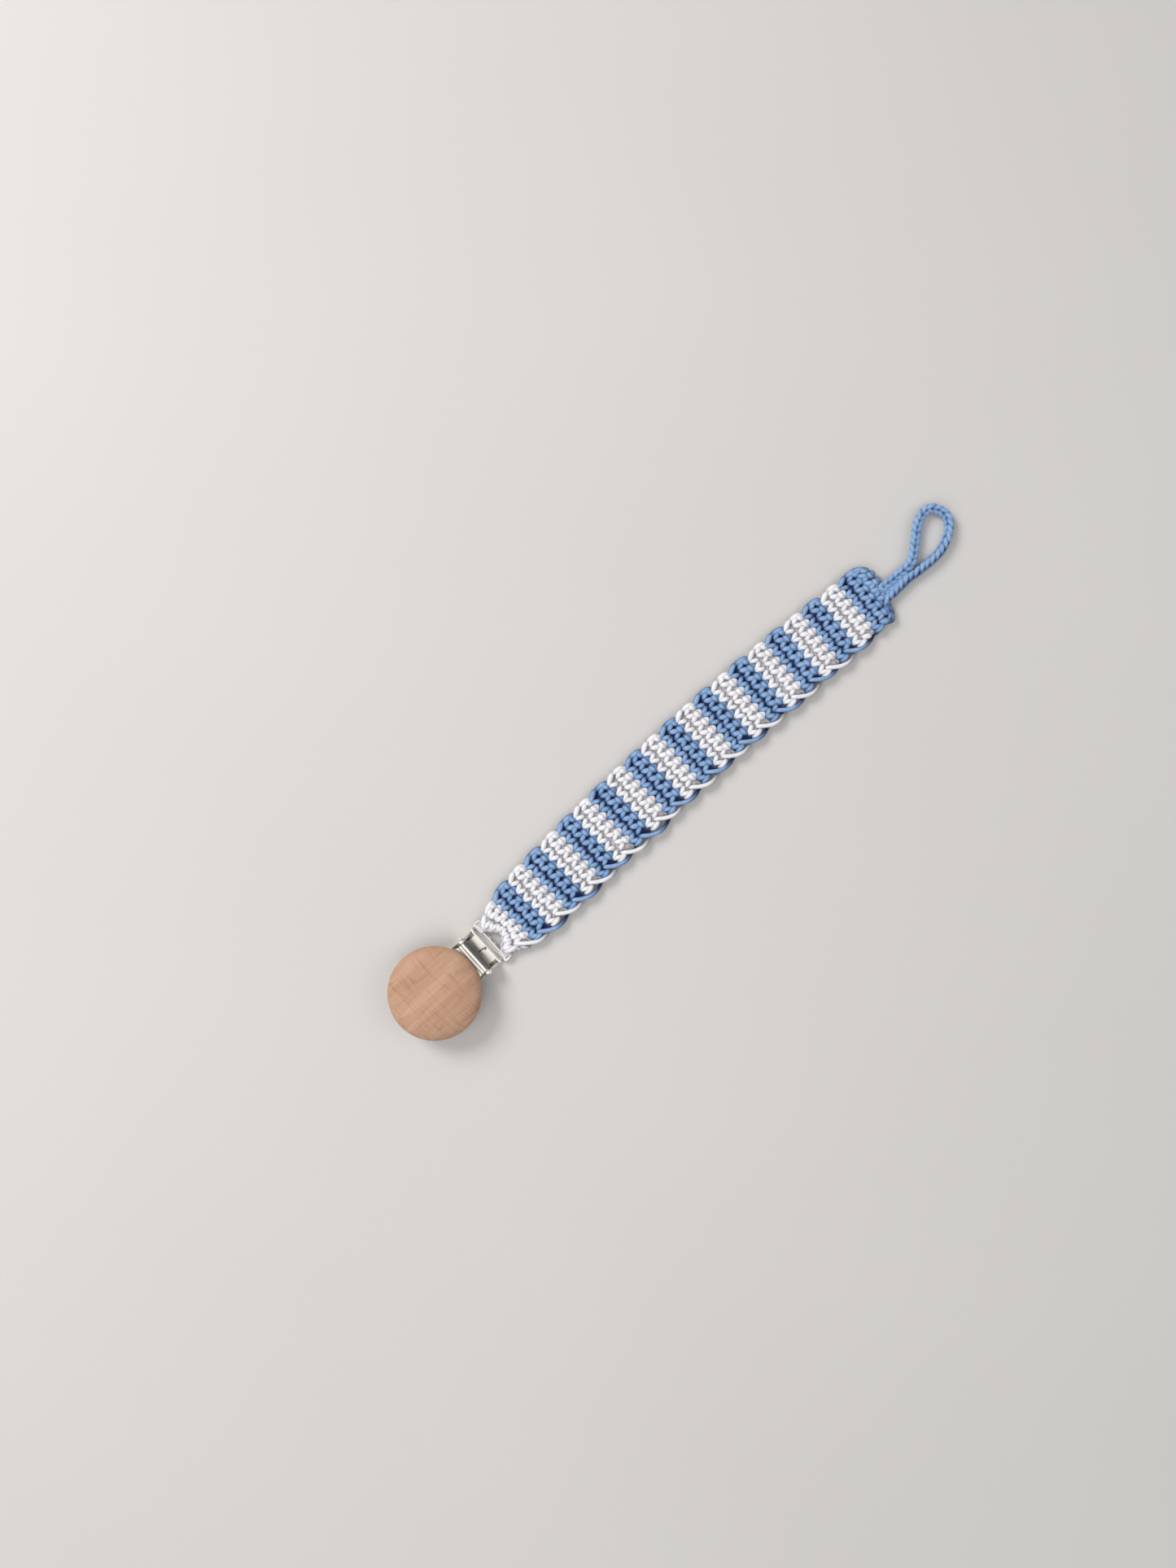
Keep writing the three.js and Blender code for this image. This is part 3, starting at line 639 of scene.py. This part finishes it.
# ---------- pieces ----------
def make_loop(blue):
    """The loop's cord, whose two ends lie side by side in the neck, with a thin chain that closes them."""
    out_y, back_y = NECK_OUT_Y - 0.15, NECK_BACK_Y + 0.25
    route = [(174.6, out_y + 0.5), (177.5, out_y + 0.3), (181.0, out_y + 0.1), (184.5, out_y)]
    route += [(NECK_END_X + x, y + 0.1) for x, y in LOOP_ROUTE[1:-1]]
    route += [(184.5, back_y), (181.0, back_y - 0.1), (177.5, back_y - 0.3), (174.4, back_y - 0.5)]
    route = np.array([(x, y, CORD_Z) for x, y in route])
    line = chain_along(route, [0.0, 0.1, 0.2, 0.5, 1.2, 1.5, 1.5], 1.2)
    between = (out_y + back_y) / 2
    neck = np.array([(x, between + 0.05, CORD_Z) for x in (173.6, 177.0, 181.0, 185.4)])
    join = chain_along(neck, [0.2, -0.2], 0.8, 1.95)
    loop = strands("loop_chain", [line, join], blue, painted_shading=lambda p: cord_depth(p, route))
    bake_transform(loop)
    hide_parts("loop_neck", "loop_cord")
    return loop


def cord_depth(points, route):
    """0 along the middle of the cord, 1 at its surface.

    Low values get painted shade, the highest a painted highlight.
    """
    fine = smooth(route, 0.5)
    flat = points.reshape(-1, 3)
    nearest = np.full(len(flat), 1e9)
    for q in fine:
        nearest = np.minimum(nearest, ((flat - q) ** 2).sum(1))
    return ease(np.sqrt(nearest) - CORD_DEEP).reshape(points.shape[:2])


def bend_or_ride(piece, stripe):
    """The first stripe after a fold and, for their carried yarn, the last two stripes before it stay in
    place on no body; the other stripes ride the body of their segment.
    """
    segment, place_in = divmod(stripe, SEGMENT_STRIPES)
    if place_in == 0 and segment > 0:
        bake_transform(piece)
    elif place_in in (2, 3) and segment < 4:
        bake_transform(piece)
    else:
        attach(piece, f"strap_{segment + 1}")


def make_stripes(blue, white):
    """The twenty stripes, each one strand, grouped by the body that they lie on."""
    pieces = {k: [] for k in range(1, 6)}
    for stripe in range(2 * STRIPE_PAIRS):
        colour, material = ("blue", blue) if stripe % 2 == 0 else ("white", white)
        number = f"{stripe // 2 + 1:02d}"
        yarn = stripe_yarn(2 * stripe, carry=stripe < 2 * STRIPE_PAIRS - 1)
        piece = strands(f"{colour}_yarn_{number}", [yarn], material, painted_shading=cloth_depth)
        bend_or_ride(piece, stripe)
        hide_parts(f"{colour}_stripe_{number}")
        pieces[stripe // SEGMENT_STRIPES + 1].append(piece)
    return pieces


def flat_route(points):
    return np.array([(x, y, MIDDLE_Z) for x, y in points])


# turns of the strand round the clip's strap bar, at the foot of each arm
BAR_TURNS = 3.3
BAR_TURN_RADIUS = 0.87
BAR_TURNS_Y, BAR_TURNS_SPAN = 4.4, 2.2
BAR_STRAND_RADIUS = 0.43


def make_start(white):
    """Two rows that fan out from the bar, chains round the gap and up the arms, and turns round the bar."""
    lines = [stripe_yarn(-2)]
    half_arch = [(6.8, 5.25), (8.4, 3.75), (9.9, 2.2), (11.0, 0.9)]
    arch = half_arch + [(11.1, 0.0)] + [(x, -y) for x, y in reversed(half_arch)]
    lines.append(chain_along(flat_route(arch), [0, 0], *ARM_CHAIN))
    half_arm = [(6.9, 6.3), (8.6, 6.2), (10.4, 6.5), (12.4, 7.7), (14.2, 8.7)]
    for side in (-1, 1):
        arm = [(x, y * side) for x, y in half_arm]
        lines.append(chain_along(flat_route(arm), [0, 0], *ARM_CHAIN))
        t = np.linspace(0, 1, 80)
        angle = 2 * math.pi * BAR_TURNS * t + 0.6
        x = BAR[0] + BAR_TURN_RADIUS * np.cos(angle)
        z = BAR[1] + BAR_TURN_RADIUS * np.sin(angle)
        y = side * (BAR_TURNS_Y + BAR_TURNS_SPAN * t) + 0.12 * np.sin(3 * angle)
        lines.append(np.column_stack([x, y, z, BAR_STRAND_RADIUS + 0.04 * np.sin(5 * angle)]))
    piece = strands("strap_start_yarn", lines, white, painted_shading=cloth_depth)
    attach(piece, "strap_1")
    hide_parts("strap_start")
    return piece


LAST_ROW = 4 * STRIPE_PAIRS   # the blue end's first row
SHORT_COLUMNS = 4
CORNER_U, CORNER_SPAN, CORNER_DROP = 8.3, 2.4, 1.3    # the short row's outer corner is pulled back
PULL_FROM, PULL_SPAN, PULL_SHARE = 6, 4, 0.03         # and its far edge is drawn in a little


def make_end(blue):
    """Two last rows, a short row up to the loop and a slip-stitch edge that steps down beside it."""
    lines = [stripe_yarn(LAST_ROW, carry=False)]
    short = smooth(row_points(LAST_ROW + 2, False, columns=SHORT_COLUMNS, carry=False), YARN_STEP)
    short[:, 1] -= CORNER_DROP * np.clip((short[:, 0] - CORNER_U) / CORNER_SPAN, 0, 1)
    short[:, 0] *= 1 - PULL_SHARE * np.clip(short[:, 1] - LAST_ROW * ROW - PULL_FROM, 0, PULL_SPAN)
    lines.append(laid(short))
    edge = [(174.9, 2.4), (174.8, -0.4), (174.2, -3.2), (173.2, -5.4),
            (172.5, -7.4), (171.4, -8.9), (169.9, -8.5), (168.8, -7.4)]
    lines.append(chain_along(flat_route(edge), [0.1, -0.3], *EDGE_CHAIN))
    piece = strands("strap_end_yarn", lines, blue, painted_shading=cloth_depth)
    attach(piece, "strap_5")
    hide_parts("strap_end")
    return piece


def make_cores(pieces, start, end, blue_core, white_core):
    """One sheet for each body. Two sheets join two stripes past their fold."""
    joins = [(SEGMENT_STRIPES * k + 2) * STRIPE for k in range(1, 5)]
    joins = [CORE_START_V] + joins + [CORE_END_V]
    for k in range(1, 6):
        low, high = joins[k - 1], joins[k]
        piece = core(f"strap_inside_{k}", low, high, (blue_core, white_core))
        if k < 5:
            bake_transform(piece)
        else:
            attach(piece, "strap_5")
        with_pieces = list(pieces[k])
        if k == 1:
            with_pieces.append(start)
        if k == 5:
            with_pieces.append(end)


# ---------- the clip (metres) ----------
RIM_BEND = 0.0018             # the wooden face's lower rim is rounded over
RIM_Z = 0.0076                # where the wooden face is widest
BACK_INSET = 0.0030
POCKET_ROOF = 0.0064          # the pocket in the face's back, for the lever plate
POCKET_GAP = 0.0003
POCKET_RADIUS = 0.0126
CHANNEL_HALF, CHANNEL_LENGTH, CHANNEL_PAST = 0.007, 0.014, 0.001
CUTTER_HEIGHT = 0.004


def rounded_copy(node, name, width, body, material):
    """The CAD piece with its sharp edges rounded, as wear leaves them."""
    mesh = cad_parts[node].data.copy()
    mesh.name = name
    mesh.materials.clear()
    piece = link(name, mesh, material)
    shape = bmesh.new()
    shape.from_mesh(mesh)
    bmesh.ops.remove_doubles(shape, verts=shape.verts, dist=1e-6)
    bmesh.ops.dissolve_limit(shape, angle_limit=math.radians(1), verts=shape.verts, edges=shape.edges)
    shape.to_mesh(mesh)
    shape.free()
    mesh.polygons.foreach_set("use_smooth", [True] * len(mesh.polygons))
    bevel = piece.modifiers.new("worn_edges", "BEVEL")
    bevel.width = width
    bevel.segments = 3
    bevel.limit_method = "ANGLE"
    bevel.angle_limit = math.radians(35)
    bevel.harden_normals = False
    normals = piece.modifiers.new("normals", "WEIGHTED_NORMAL")
    normals.keep_sharp = False
    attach(piece, body)
    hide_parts(node)
    return piece


def make_disc(material):
    """Turned wooden face, with the pocket and channel for the lever plate cut in its back."""
    low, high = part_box("wooden_disc")
    middle = (low + high) / 2
    radius = (high.x - low.x) / 2
    bottom, top = low.z, high.z
    profile = [(0, bottom), (radius - BACK_INSET, bottom)]
    for i in range(1, 13):
        a = i / 12 * math.pi / 2
        r = radius - RIM_BEND + RIM_BEND * math.sin(a)
        profile.append((r, RIM_Z - (RIM_Z - bottom) * math.cos(a)))
    for i in range(1, 32):
        a = i / 32 * math.pi / 2
        profile.append((radius * math.cos(a) ** 0.8, RIM_Z + (top - RIM_Z) * math.sin(a)))
    profile.append((0, top))
    steps = 160
    shape = bmesh.new()
    rings = []
    for r, z in profile:
        if r == 0:
            rings.append([shape.verts.new((middle.x, middle.y, z))])
            continue
        ring = []
        for k in range(steps):
            a = 2 * math.pi * k / steps
            ring.append(shape.verts.new((middle.x + r * math.cos(a), middle.y + r * math.sin(a), z)))
        rings.append(ring)
    for lower, upper in zip(rings, rings[1:]):
        for k in range(steps):
            k2 = (k + 1) % steps
            corners = [lower[k % len(lower)], lower[k2 % len(lower)],
                       upper[k2 % len(upper)], upper[k % len(upper)]]
            shape.faces.new(list(dict.fromkeys(corners)))
    bmesh.ops.recalc_face_normals(shape, faces=shape.faces)
    mesh = bpy.data.meshes.new("turned_disc")
    shape.to_mesh(mesh)
    shape.free()
    disc = link("turned_disc", mesh, material)
    cut_pocket(disc, middle)
    disc.data.polygons.foreach_set("use_smooth", [True] * len(disc.data.polygons))
    disc.data.set_sharp_from_angle(angle=math.radians(40))
    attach(disc, "lever")
    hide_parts("wooden_disc")
    return disc


def cut_pocket(disc, middle):
    """A round pocket for the lever plate and a channel for its neck, each cut by a solid of its own."""
    _, lever_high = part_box("lever_plate")
    cutter_z = POCKET_ROOF - CUTTER_HEIGHT / 2
    tools = []
    shape = bmesh.new()
    radius = POCKET_RADIUS + POCKET_GAP
    bmesh.ops.create_cone(shape, cap_ends=True, segments=96, radius1=radius, radius2=radius,
                          depth=CUTTER_HEIGHT)
    bmesh.ops.translate(shape, verts=shape.verts, vec=(middle.x, middle.y, cutter_z))
    tools.append(shape)
    shape = bmesh.new()
    bmesh.ops.create_cube(shape, size=1)
    width = 2 * (CHANNEL_HALF + POCKET_GAP)
    bmesh.ops.scale(shape, verts=shape.verts, vec=(CHANNEL_LENGTH, width, CUTTER_HEIGHT))
    channel_x = lever_high.x + CHANNEL_PAST - CHANNEL_LENGTH / 2
    bmesh.ops.translate(shape, verts=shape.verts, vec=(channel_x, middle.y, cutter_z))
    tools.append(shape)
    for shape in tools:
        tool = bpy.data.meshes.new("pocket_tool")
        shape.to_mesh(tool)
        shape.free()
        cutter = bpy.data.objects.new(tool.name, tool)
        bpy.context.scene.collection.objects.link(cutter)
        boolean = disc.modifiers.new("cut", "BOOLEAN")
        boolean.operation = "DIFFERENCE"
        boolean.object = cutter
        boolean.solver = "EXACT"
        bpy.context.view_layer.update()
        result = disc.evaluated_get(bpy.context.evaluated_depsgraph_get())
        cut_mesh = bpy.data.meshes.new_from_object(result)
        disc.modifiers.clear()
        old = disc.data
        disc.data = cut_mesh
        bpy.data.meshes.remove(old)
        bpy.data.objects.remove(cutter)
        bpy.data.meshes.remove(tool)


# Painted shade on the base plate, under the spring, and on the lever plate from its hinge towards the
# strap: each limit is its axis, its place and its fade.
UNDER_SPRING = [(0, -0.005, 0.0025), (0, 0.0041, -0.00005), (1, -0.0066, 0.00005), (1, 0.0066, -0.00005),
                (2, 0.0006, 0.00005), (2, 0.00095, -0.00005)]
LEVER_INSIDE = [(0, -0.0001, 0.0001)]
SHEET_EDGE, FINE_EDGE, PIN_EDGE, GRIP_EDGE = 0.00014, 0.00010, 0.00008, 0.00012


def make_clip(plastic, beech):
    plate_steel = steel_material("plate_steel", shaded_region=UNDER_SPRING)
    lever_steel = steel_material("lever_steel", shaded_region=LEVER_INSIDE)
    spring_steel = steel_material("spring_steel", (0.90, 0.87, 0.80), 0.36)
    pin_steel = steel_material("pin_steel")
    for node, name, edge, body, slot, material in (
            ("base_plate", "base_plate_metal", SHEET_EDGE, "clip_base", "clip_steel", plate_steel),
            ("hinge_pin", "hinge_pin_metal", PIN_EDGE, "clip_base", "clip_steel", pin_steel),
            ("lever_plate", "lever_metal", SHEET_EDGE, "lever", "clip_steel", lever_steel),
            ("spring_jaw", "spring_metal", FINE_EDGE, "jaw", "clip_steel", spring_steel),
            ("front_grip", "front_grip_plastic", GRIP_EDGE, "jaw", "grip_plastic", plastic),
            ("back_grip", "back_grip_plastic", GRIP_EDGE, "clip_base", "grip_plastic", plastic)):
        rounded_copy(node, name, edge, body, material)
    make_disc(beech)


# ---------- studio ----------
def make_floor():
    mesh = bpy.data.meshes.new("floor")
    mesh.from_pydata([(-3, -3, 0), (3, -3, 0), (3, 3, 0), (-3, 3, 0)], [], [(0, 1, 2, 3)])
    floor = link("floor", mesh, floor_material("floor"))
    floor.location.z = -0.00002


AIM = Vector((0.09, 0, 0))    # the middle of the strap


def make_light(name, location, size, watts, colour):
    data = bpy.data.lights.new(name, "AREA")
    data.shape = "DISK"
    data.size = size
    data.energy = watts
    data.color = colour
    lamp = bpy.data.objects.new(name, data)
    bpy.context.scene.collection.objects.link(lamp)
    lamp.location = location
    aim = AIM - Vector(location)
    lamp.rotation_euler = aim.to_track_quat("-Z", "Y").to_euler()


def make_lights():
    make_light("window", (-0.1, 0.9, 0.75), 0.55, 9.4, (1.0, 0.985, 0.96))
    make_light("fill", (0.7, -0.6, 0.9), 1.0, 3.0, (0.97, 0.98, 1.0))
    make_light("clip_side", (-0.5, -0.05, 0.85), 1.1, 4.3, (1.0, 0.99, 0.97))
    world = bpy.data.worlds.new("studio")
    world.use_nodes = True
    world.node_tree.nodes["Background"].inputs["Color"].default_value = (0.93, 0.95, 1.0, 1)
    world.node_tree.nodes["Background"].inputs["Strength"].default_value = 0.30
    bpy.context.scene.world = world
    bpy.context.scene.view_settings.view_transform = "Standard"


make_camera()
# yarn colours: painted shade deep in the cloth, painted shade between plies, two own tones, painted
# highlight
blue_yarn = yarn_material("blue_yarn", linear(10, 28, 76), linear(58, 92, 146), linear(92, 130, 180),
                          linear(140, 173, 212), linear(164, 196, 232))
white_yarn = yarn_material("white_yarn", linear(150, 148, 153), linear(207, 205, 210), linear(226, 225, 229),
                           linear(240, 239, 242), linear(247, 246, 248))
make_loop(blue_yarn)
stripes = make_stripes(blue_yarn, white_yarn)
start_piece = make_start(white_yarn)
end_piece = make_end(blue_yarn)
# the inside sheets are coloured darker than the yarn, as painted shade in the gaps
make_cores(stripes, start_piece, end_piece, core_material("blue_inside", linear(20, 46, 104), 0.55),
           core_material("white_inside", linear(206, 203, 207), 0.8))
make_clip(plastic_material("grip_plastic"), beech_material("turned_beech"))
make_floor()
make_lights()
